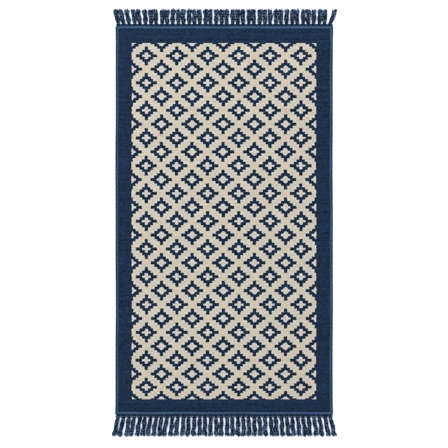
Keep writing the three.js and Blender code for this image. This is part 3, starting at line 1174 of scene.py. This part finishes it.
@dataclass(frozen=True)
class SewnLine:
    """The lighter-blue line of plaited stitches round the rug, on both faces.

    Each stitch is two short legs that meet in a point, and the stitches lie in each other like a plait.

    Attributes:
        corner_inset: how far in from the long sides the two end lines start.
        fibre_shift: millimetres by which each leg reads another part of the fibres' pattern.
        proud: how far the stitches stand above the upper face.
        waver_turn: radians a stitch of the line's slow waver.
        waver_unevenness: how far single stitches stray, as a share of it.
        tone_waves: radians a metre, across and along, of slow changes in how light the yarn is.
        lot_waves: the same for its dye lot.
    """

    body: Body = Body()
    side_inset: float = 6.1 * MM
    top_inset: float = 11.3 * MM
    bottom_inset: float = 10 * MM
    corner_inset: float = 4.2 * MM
    end_width: float = 6.4 * MM
    side_width: float = 5.7 * MM
    pitch: float = 3.3 * MM
    leg_angle: float = math.radians(36)
    leg_thickness: float = 1.25 * MM
    leg_height: float = 0.85 * MM
    fibre_shift: int = 10
    proud: float = 0.1 * MM
    waver: float = 0.45 * MM
    waver_turn: float = 0.11
    waver_unevenness: float = 0.3
    top_tone: float = 0.55
    bottom_tone: float = 0.5
    left_tone: float = 0.18
    right_tone: float = 0.32
    leg_tone_spread: float = 0.28
    tone_spread: float = 0.1
    tone_waves: tuple[float, float] = (61, 29)
    lot_spread: float = 0.18
    lot_waves: tuple[float, float] = (37, 11)
    changes: tuple[YarnChange, ...] = (
        YarnChange(start=-14 * MM, stop=66 * MM, tone=-0.22, lot=0.2),
        YarnChange(start=168 * MM, stop=198 * MM, tone=0.05, lot=0.7),
        YarnChange(start=198 * MM, stop=222 * MM, tone=-0.25, lot=0.2),
        YarnChange(start=257 * MM, stop=312 * MM, tone=0.0, lot=1.0),
    )

    def runs(self) -> tuple[StitchRun, ...]:
        """Lays out the line.

        Returns:
            Its four stretches: both ends, then both sides.
        """
        half_width, half_length = self.body.width / 2, self.body.length / 2
        top, bottom = half_length - self.top_inset, self.bottom_inset - half_length
        corner, side = half_width - self.corner_inset, half_width - self.side_inset
        side_top, side_bottom = top - self.end_width / 2, bottom + self.end_width / 2
        return (
            StitchRun((-corner, top), (corner, top), self.end_width, self.top_tone),
            StitchRun((-corner, bottom), (corner, bottom), self.end_width, self.bottom_tone),
            StitchRun((-side, side_bottom), (-side, side_top), self.side_width, self.left_tone),
            StitchRun((side, side_bottom), (side, side_top), self.side_width, self.right_tone),
        )

    def build(self, face: Face) -> Object:
        """Builds the line on one face.

        Args:
            face: the face it lies on.

        Returns:
            All stitches as one joined piece, dressed.
        """
        bead = bmesh.new()
        bmesh.ops.create_uvsphere(bead, u_segments=6, v_segments=4, radius=1)
        leg = Template.taken_from(bead)
        height = self.leg_height
        if face is Face.UPPER:
            height = self.body.thickness + self.proud - self.leg_height
        lays = []
        tones = []
        lots = []
        for number, run in enumerate(self.runs()):
            length = (run.width / 2 / math.sin(self.leg_angle) + self.leg_thickness) / 2
            shape = leg.points * (length, self.leg_thickness, self.leg_height)
            for place, ahead, side in self._stitches(run, number):
                tone, lot = self._yarn_at(run, place)
                for hand in (-1, 1):
                    along_leg = math.cos(self.leg_angle) * ahead + hand * math.sin(self.leg_angle) * side
                    turned = np.array([along_leg, [-along_leg[1], along_leg[0]]])
                    flat = place + hand * run.width / 4 * side + shape[:, :2] @ turned
                    points = np.column_stack([flat, height + shape[:, 2]])
                    # A leg's painted highlight lies on its top and its painted shade round its rim
                    lays.append(CordLay(points, np.abs(leg.points[:, 2]), shape + self.fibre_shift * MM))
                    tones.append(tone + self.leg_tone_spread * unevenness(len(lays), seed=0.9))
                    lots.append(lot)
        shift = (self.fibre_shift,) * 3
        return join_cords("sewn_line_" + face.value, leg, lays, tones, lots, SEWING_YARN, shift=shift)

    def _stitches(self, run: StitchRun, number: int) -> Iterable[tuple[np.ndarray, ...]]:
        """Places the stitches of a stretch.

        Args:
            run: the stretch.
            number: its place in the line, for its own unevenness.

        Yields:
            A stitch's middle, the direction in which it points and that to its left, all across and along.
        """
        start, stop = np.array(run.start), np.array(run.stop)
        length = np.linalg.norm(stop - start)
        ahead = (stop - start) / length
        side = np.array([-ahead[1], ahead[0]])
        count = round(length / self.pitch)
        for step in range(count):
            stray = self.waver_unevenness * unevenness(step, seed=number)
            waver = self.waver * (math.sin(self.waver_turn * step + number) + stray)
            across, along = start + (stop - start) * (step + 0.5) / count + waver * side
            yield np.array([self.body.strayed(across, along), along]), ahead, side

    def _yarn_at(self, run: StitchRun, place: np.ndarray) -> tuple[float, float]:
        """Tells a stitch's yarn.

        Args:
            run: the stretch of line it is in.
            place: where it is.

        Returns:
            How light it is, and how far it is of the other, more violet dye lot, both from 0 to 1.
        """
        tone = run.tone + self.tone_spread * math.sin(place @ self.tone_waves)
        is_bottom = run.start[1] == run.stop[1] < 0
        for change in self.changes:
            if is_bottom and change.start < place[0] < change.stop:
                return tone + change.tone, change.lot
        return tone, self.lot_spread * (1 + math.sin(place @ self.lot_waves))


# The fringe


@dataclass(frozen=True)
class Fringe:
    """The lay of one fringed end, which all its pieces share, with the solids' spacings.

    Attributes:
        bend_power: how soon the tassels bend towards their tips.
        passes: rounds in which tassels that would lie on each other are pushed apart.
        wander: how far a tassel wanders from its middle line, once for each wander_length.
    """

    end: EndSizes
    body: Body = Body()
    tassels: int = 40
    head_width: float = 12.8 * MM
    corner_taper: float = 1.8 * MM
    clearance: float = 0.4 * MM
    pitch_spread: float = 0.7 * MM
    strand_radius: float = 2.35 * MM
    root_spacing: float = 4.2 * MM
    lean_spread: float = 1.5 * MM
    bend_power: float = 0.85
    passes: int = 60
    smoothing: int = 8
    wander: float = 1.1 * MM
    wander_length: float = 40 * MM

    def _path(self, across: np.ndarray, out: np.ndarray | float, height: np.ndarray | float) -> np.ndarray:
        """Makes a path in the rug's own frame.

        Args:
            across: places across the end.
            out: distances out from the body's end.
            height: heights above the floor.

        Returns:
            Its points.
        """
        points = np.stack(np.broadcast_arrays(across, self.body.length / 2 + out, height), axis=1)
        return points * (self.end.way, self.end.way, 1)

    def _roots(self) -> np.ndarray:
        """Finds the middle of each tassel's root.

        Returns:
            Places across the end.
        """
        margin = self.head_width / 2 + self.corner_taper + self.clearance
        pitch = (self.body.width - 2 * margin) / (self.tassels - 1)
        number = np.arange(self.tassels)
        stray = self.pitch_spread * unevenness(number, self.end.seed)
        stray[[0, -1]] = 0
        return margin + pitch * number - self.body.width / 2 + stray

    def _middles(self, out: np.ndarray) -> np.ndarray:
        """Lays the tassels' middle lines, which lean together in pairs and are pushed apart where they meet.

        Args:
            out: distances out from the body's end.

        Returns:
            Places across the end, as tassels by distances.
        """
        number = np.arange(self.tassels)
        roots = self._roots()
        together = self.end.pair_lean * (1 + unevenness(number // 2, self.end.seed)) / 2
        lean = read_pairs(self.end.drift, roots) + np.where(number % 2 == 0, together, -together)
        lean += self.lean_spread * unevenness(number, 2 * self.end.seed)
        least = 2 * self.root_spacing + self.end.tip_spacing
        levels = [roots]
        for step in range(1, self.end.steps + 1):
            places = roots + lean * (step / self.end.steps) ** self.bend_power
            for _ in range(self.passes):
                short = np.maximum(least - np.diff(places), 0) / 2
                places = places - np.append(short, 0) + np.insert(short, 0, 0)
            levels.append(places)
        knots = np.linspace(0, self.end.length, self.end.steps + 1)
        straight = np.array([np.interp(out, knots, path) for path in np.array(levels).T])
        for _ in range(self.smoothing):
            straight[:, 1:-1] = (straight[:, :-2] + 2 * straight[:, 1:-1] + straight[:, 2:]) / 4
        phase = PHASES * unevenness(number, seed=7.7)[:, None]
        grown = np.clip(out / self.wander_length, 0, 1)
        return straight + self.wander * grown * np.sin(2 * math.pi * out / self.wander_length + phase)


@dataclass(frozen=True)
class Heading(Fringe):
    """The two twisted cords that hold the last weft rows, and the thinner ones that they lie on.

    Attributes:
        thick: thickness of the two cords, as a radius and as a share of the heading's depth.
        thin: the same for two thinner ones on the floor.
        filler_radius: thickness of the thinnest one, beside the cloth's edge.
        out: how far the outer cord stands out past the heading.
        over: how far the inner one lies over the cloth's edge.
        cut: how thick their very ends are, as the square of a share.
    """

    thick: float = 0.275
    thin: float = 0.2
    filler_radius: float = 0.45 * MM
    filler_out: float = 0.1 * MM
    out: float = 0.35 * MM
    over: float = 0.2 * MM
    rise: float = 1.1 * MM
    twist_pitch: float = 9 * MM
    margin: float = 2 * MM
    cut: float = 0.2
    hidden_shade_tone: float = 0.1

    def build(self) -> Object:
        """Builds the heading.

        Returns:
            All cords as one joined piece, dressed.
        """
        edge = -self.end.heading
        thick, thin = self.thick * self.end.heading, self.thin * self.end.heading
        turns = self.body.width / self.twist_pitch
        steps = round(8 * turns)
        cord = plied_cord(plies=2, sides=8, steps=steps, turns=turns, crease=0.3)
        # The three cords that lie under the two thick ones are darkened as painted shade
        tones = [*self.end.heading_tones] + [self.hidden_shade_tone] * 3
        lays = []
        for out, radius, rise in (
            (self.out - thick, thick, self.rise),
            (edge + thick - self.over, thick, self.rise),
            (edge / 2, thin, 0.0),
            (edge + thin, thin, 0.0),
            (edge + self.filler_out, self.filler_radius, 0.0),
        ):
            across = np.linspace(-0.5, 0.5, steps + 1) * (self.body.width - self.margin)
            along = self.end.way * (self.body.length / 2 + out)
            across = np.sort(self.end.way * self.body.strayed(across, along))
            from_end = np.minimum(across - across[0], across[-1] - across)
            radii = radius * np.sqrt(np.clip(from_end / (2 * radius) + self.cut, 0, 1))
            path = self._path(across, out, radius + rise)
            lays.append(bend_cord(cord, path, radii, across=(0, 1, 0)))
        node = self.end.node
        return join_cords(node + "_heading", cord, lays, tones, 0.0, BINDING_YARN, node)


@dataclass(frozen=True)
class RootLoops(Fringe):
    """The loop at each tassel's root, which comes out of the heading and lies over the strands.

    Attributes:
        flatness: the power that makes its bend flatter than a half circle.
        rise: the height of its ends, and how much higher its middle lies, in strand radii.
    """

    steps: int = 14
    thinning: float = 0.2
    reach_spread: float = 0.15
    flatness: float = 0.7
    rise: tuple[float, float] = (0.9, 1.0)
    tone: float = 0.3
    tone_spread: float = 0.2

    def build(self) -> Object:
        """Builds the loops.

        Returns:
            All loops as one joined piece, dressed.
        """
        cord = plied_cord(plies=2, sides=6, steps=self.steps, turns=2, crease=0.3)
        turn = np.linspace(0, math.pi, self.steps + 1)
        radii = self.end.loop_radius * (1 - self.thinning * (1 - np.sin(turn)))
        height = self.strand_radius * (self.rise[0] + self.rise[1] * np.sqrt(np.sin(turn)))
        numbers = np.arange(self.tassels)
        reaches = self.end.loop_reach * (1 + self.reach_spread * unevenness(numbers, seed=2.9))
        lays = []
        for root, reach in zip(self._roots(), reaches):
            across = root - self.end.loop_width / 2 * np.cos(turn)
            path = self._path(across, self.end.loop_start + reach * np.sin(turn) ** self.flatness, height)
            lays.append(bend_cord(cord, path, radii, across=(0, 0, 1)))
        tones = self.tone + self.tone_spread * unevenness(numbers, seed=1.4)
        node = self.end.node
        return join_cords(node + "_loops", cord, lays, tones, 0.0, FRINGE_YARN, node)


@dataclass(frozen=True)
class Tassels(Fringe):
    """The tassels of plied navy yarn that lie on the floor.

    A tassel is seven strands, held by a loop at its root, which they leave in two legs. Four of them then
    lie side by side on the floor, and three twist loosely over these. Its outer strands are a little shorter.
    """

    # A strand: squeezed under the heading, thicker where it loosens near its tip, and thinned at its end
    twist_pitch: float = 16 * MM
    root_tuck: float = 3 * MM
    root_thickness: float = 0.62
    root_length: float = 5 * MM
    looseness: float = 0.08
    loose_place: float = 4 * MM
    loose_length: float = 3 * MM
    frayed_length: float = 1.3 * MM
    tip_length: float = 2.2 * MM
    tip_cut: float = 0.12
    # The strands' reach: single ones differ, and the middle ones reach further out
    length_spread: float = 2 * MM
    tip_round: float = 2.6 * MM
    tip_reach: float = 0.55
    # The two legs in which they leave the root, as shares of the tassel's width, and where those part most
    inner_leg: float = 0.35
    leg_width: float = 0.8
    mixing_length: float = 13 * MM
    parting_out: float = 7 * MM
    parting_length: float = 3 * MM
    # The tassel's swelling, and how its upper strands turn, wobble and rise over the lower ones
    swelling: float = 0.1
    swelling_length: float = 34 * MM
    turn_length: float = 38 * MM
    turn_spread: float = 0.3
    wobble: float = 0.5
    wobble_length: float = 27 * MM
    lower_wobble: float = 0.12
    cross_rise: float = 0.9
    cross_dip: float = 0.45
    over_rise: float = 0.5
    droop: float = 0.3
    # The yarn: painted shade on the lower strands, which lie under the others, and painted light on the upper
    # ones
    shaded_lower_tone: float = 0.09
    lit_upper_tone: float = 0.77
    tone_spread: float = 0.35
    lot_spread: float = 0.35

    def build(self) -> Object:
        """Builds the tassels' strands.

        Returns:
            All strands as one joined piece, dressed.
        """
        turns = self.end.length / self.twist_pitch
        steps = round(8 * turns)
        cord = plied_cord(plies=2, sides=8, steps=steps, turns=turns, crease=0.36)
        out = np.linspace(-self.root_tuck, self.end.length + self.frayed_length, steps + 1)
        taper = np.sqrt(np.clip((out[-1] - out) / self.tip_length + self.tip_cut, 0, 1))
        radii = self.strand_radius * self._thickness(out) * taper
        lays = []
        tones = []
        for tassel, middle in enumerate(self._middles(out)):
            for across, height, tone, longer in self._bundle(tassel, middle, out):
                longer += self.length_spread * unevenness(len(lays), self.end.seed)
                path = self._path(across, out + np.maximum(out, 0) * longer / self.end.length, height)
                lays.append(bend_cord(cord, path, radii, across=(1, 0, 0)))
                tones.append(tone)
        lots = self.lot_spread * (1 + unevenness(np.arange(len(lays)), seed=6.2))
        node = self.end.node
        return join_cords(node + "_tassels", cord, lays, tones, lots, FRINGE_YARN, node)

    def _bundle(
        self, tassel: int, middle: np.ndarray, out: np.ndarray
    ) -> Iterable[tuple[np.ndarray, np.ndarray, float, float]]:
        """Lays the strands of one tassel.

        Args:
            tassel: the tassel's number.
            middle: its middle line, across the end.
            out: the distances out from the body's end at which that is given.

        Yields:
            Each strand's places across the end, its heights, how light its yarn is, from 0 to 1, darker as
            painted shade below and lighter as painted light above, and how much longer it is than the end's
            strands are on average.
        """
        swell = np.sin(2 * math.pi * out / self.swelling_length + PHASES * unevenness(tassel, seed=8.8))
        half = read_pairs(self.end.spreads, out) * (1 + self.swelling * swell)
        mixed = np.clip(out / self.mixing_length, 0, 1)
        mixed = mixed**2 * (3 - 2 * mixed)
        parted = self.end.parting * max(unevenness(tassel, seed=5.2), 0)
        parted = parted * np.exp(-(((out - self.parting_out) / self.parting_length) ** 2))
        droop = 1 - self.droop * np.clip(out / self.end.length, 0, 1) ** 4
        over = self.over_rise * np.clip(out / self.root_length, 0, 1)
        turn = out / self.turn_length * (1 + self.turn_spread * unevenness(tassel, seed=4.4))
        turn = turn + unevenness(tassel, seed=1.1)
        hand = 1 if tassel % 2 else -1
        for strand, leg in enumerate((-1, -self.inner_leg, self.inner_leg, 1, -1, hand, 1)):
            number = 7 * tassel + strand
            phase = PHASES * unevenness(number, seed=0.4)
            wobble = np.sin(2 * math.pi * out / self.wobble_length + phase)
            if strand < 4:
                target = (strand - 1.5) / 1.5 + self.lower_wobble * wobble
                rise = 0.0
                # Painted shade on a strand that lies under the others
                tone = self.shaded_lower_tone
            else:
                angle = 2 * math.pi * (turn + strand / 3) + self.wobble * wobble
                target = np.cos(angle)
                rise = self.cross_rise * mixed * (1 - self.cross_dip * (1 - np.sin(angle)))
                rise = (rise + over) * droop
                # Painted light on a strand that lies over the others
                tone = self.lit_upper_tone
            across = middle + leg * parted + half * (self.leg_width * leg * (1 - mixed) + target * mixed)
            height = self.strand_radius * (self._thickness(out) + rise)
            tone += self.tone_spread * unevenness(number, 5 * self.end.seed)
            yield across, height, tone, self.tip_round * (self.tip_reach - abs(target[-1]))

    def _thickness(self, out: np.ndarray) -> np.ndarray:
        """Tells how thick a strand is: squeezed under the heading, and a little loose near its tip.

        Args:
            out: distances out from the body's end.

        Returns:
            Shares of its full thickness.
        """
        grown = np.clip((out + self.root_tuck) / (self.root_tuck + self.root_length), 0, 1)
        loose = np.exp(-(((out[-1] - out - self.loose_place) / self.loose_length) ** 2))
        return (self.root_thickness + (1 - self.root_thickness) * grown) * (1 + self.looseness * loose)


@dataclass(frozen=True)
class LooseFibres(Fringe):
    """Fine fibres that have worked loose and lie in the gaps beside the tassels and at their tips.

    Attributes:
        side_starts: where fibres beside a tassel start, as shares of the end's length.
        side_stops: where they stop, as tip_start and tip_stops say it for those at its tip.
        side: how far from the tassel's middle they start, as a share of its width.
        waves: radians that they wave, at least and at most.
        lifts: how high they start, in strand radii.
    """

    steps: int = 6
    tip_count: int = 16
    radius: float = 0.33 * MM
    thinning: float = 0.6
    side_starts: tuple[float, float] = (0.1, 0.6)
    side_stops: tuple[float, float] = (0.75, 1.0)
    side: float = 0.8
    tip_start: float = 0.84
    tip_stops: tuple[float, float] = (0.97, 1.04)
    stray: float = 3.5 * MM
    wave: float = 0.6 * MM
    waves: tuple[float, float] = (1.8 * math.pi, 3.6 * math.pi)
    lifts: tuple[float, float] = (0.3, 1.2)
    tone: float = 0.6
    tone_spread: float = 0.4
    lot: float = 0.3

    def build(self) -> Object:
        """Builds the fibres.

        Returns:
            All fibres as one joined piece, dressed.
        """
        cord = plied_cord(plies=2, sides=3, steps=self.steps, turns=0.5, crease=0.1)
        share = np.linspace(0, 1, self.steps + 1)
        radii = self.radius * (1 - self.thinning * share**3)
        draws = np.random.default_rng(seed=11)
        places = np.linspace(0, self.end.length, 40)
        lays = []
        for middle in self._middles(places):
            for number in range(self.end.side_fibres + self.tip_count):
                if number < self.end.side_fibres:
                    start, stop = draws.uniform(*self.side_starts), draws.uniform(*self.side_stops)
                    side = draws.choice([-self.side, self.side])
                else:
                    start, stop = self.tip_start, draws.uniform(*self.tip_stops)
                    side = draws.uniform(-1, 1)
                out = self.end.length * (start + (stop - start) * share)
                stray = side * draws.uniform(0, self.stray) * share**1.5
                wave = np.sin(share * draws.uniform(*self.waves)) * draws.uniform(-self.wave, self.wave)
                across = np.interp(out, places, middle) + side * read_pairs(self.end.spreads, out)
                height = self.radius + self.strand_radius * (1 - share) * draws.uniform(*self.lifts)
                path = self._path(across + stray + wave, out, height)
                lays.append(bend_cord(cord, path, radii, across=(1, 0, 0)))
        tones = self.tone + self.tone_spread * unevenness(np.arange(len(lays)), seed=8.1)
        node = self.end.node
        return join_cords(node + "_loose_fibres", cord, lays, tones, self.lot, LOOSE_FIBRES, node)


# The studio


@dataclass(frozen=True)
class Studio:
    """A plain white floor with a faint glow, a large soft light, and the camera straight above the rug.

    Attributes:
        aim: the place, across and along, above which the camera stands.
        key_place: where the soft light stands. It shines at the origin.
    """

    body: Body = Body()
    lens: float = 85
    sensor: float = 36
    photo_side: float = 448
    body_width_in_photo: float = 216.9
    aim: tuple[float, float] = (-0.5 * MM, -12.9 * MM)
    floor_side: float = 9.0
    floor_gap: float = 0.2 * MM
    floor_colour: str = "F0F0F0"
    floor_glow: float = 0.36
    floor_glow_colour: str = "B9DEFF"
    key_power: float = 411
    key_side: float = 4.0
    key_place: tuple[float, float, float] = (-2.8, 4.0, 5.4)
    fill_strength: float = 0.75

    def build(self) -> Object:
        """Builds the studio.

        Returns:
            The floor.
        """
        self._place_camera()
        self._light()
        return self._lay_floor()

    def _place_camera(self) -> None:
        """Places the camera so far above that the view is as wide as the photo's."""
        data = bpy.data.cameras.new("camera_above")
        data.lens = self.lens
        data.sensor_width = self.sensor
        camera = new_object("camera_above", data)
        view_width = self.body.width * self.photo_side / self.body_width_in_photo
        camera.location = (*self.aim, self.body.thickness + view_width * self.lens / self.sensor)
        bpy.context.scene.camera = camera

    def _light(self) -> None:
        """Adds the large soft light and an even white surrounding, and keeps colours as they are."""
        data = bpy.data.lights.new("large_soft_light", "AREA")
        data.shape = "SQUARE"
        data.size = self.key_side
        data.energy = self.key_power
        key = new_object("large_soft_light", data)
        key.location = self.key_place
        key.rotation_euler = (-key.location).to_track_quat("-Z", "Y").to_euler()
        world = bpy.data.worlds.new("white_surrounding")
        world.use_nodes = True
        background = world.node_tree.nodes["Background"]
        background.inputs["Color"].default_value = (1, 1, 1, 1)
        background.inputs["Strength"].default_value = self.fill_strength
        bpy.context.scene.world = world
        bpy.context.scene.view_settings.view_transform = "Standard"

    def _lay_floor(self) -> Object:
        """Lays the floor.

        Returns:
            The floor, marked as stage.
        """
        plane = bmesh.new()
        bmesh.ops.create_grid(plane, x_segments=1, y_segments=1, size=self.floor_side / 2)
        bmesh.ops.translate(plane, verts=plane.verts[:], vec=(0, 0, -self.floor_gap))
        mesh = bpy.data.meshes.new("floor")
        plane.to_mesh(mesh)
        plane.free()
        material, add = new_material("matt_white_floor")
        surface = {
            "Base Color": srgb(self.floor_colour),
            "Roughness": 0.9,
            "Specular IOR Level": 0.1,
            "Emission Color": srgb(self.floor_glow_colour),
            "Emission Strength": self.floor_glow,
        }
        add("OutputMaterial", {"Surface": add("BsdfPrincipled", surface)})
        mesh.materials.append(material)
        floor = new_object("floor", mesh)
        floor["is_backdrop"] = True
        return floor


def write_sizes() -> None:
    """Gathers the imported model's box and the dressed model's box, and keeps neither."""
    boxes = {"cad": CAD_BOX, "visual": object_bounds()}
    {name: [list(corner) for corner in box] for name, box in boxes.items()}


def main() -> None:
    """Builds the rug and its studio."""
    logging.basicConfig(level=logging.INFO, format="%(name)s: %(message)s")
    cloth = WovenCloth()
    floor = Studio().build()
    sheet = cloth.build()
    low, high = cloth.span()
    joined = [Overcasting().build(low, high)]
    joined += [SewnLine().build(face) for face in Face]
    joined += [part(end.value).build() for end in End for part in (Heading, RootLoops, Tassels, LooseFibres)]
    write_sizes()


if __name__ == "__main__":
    main()
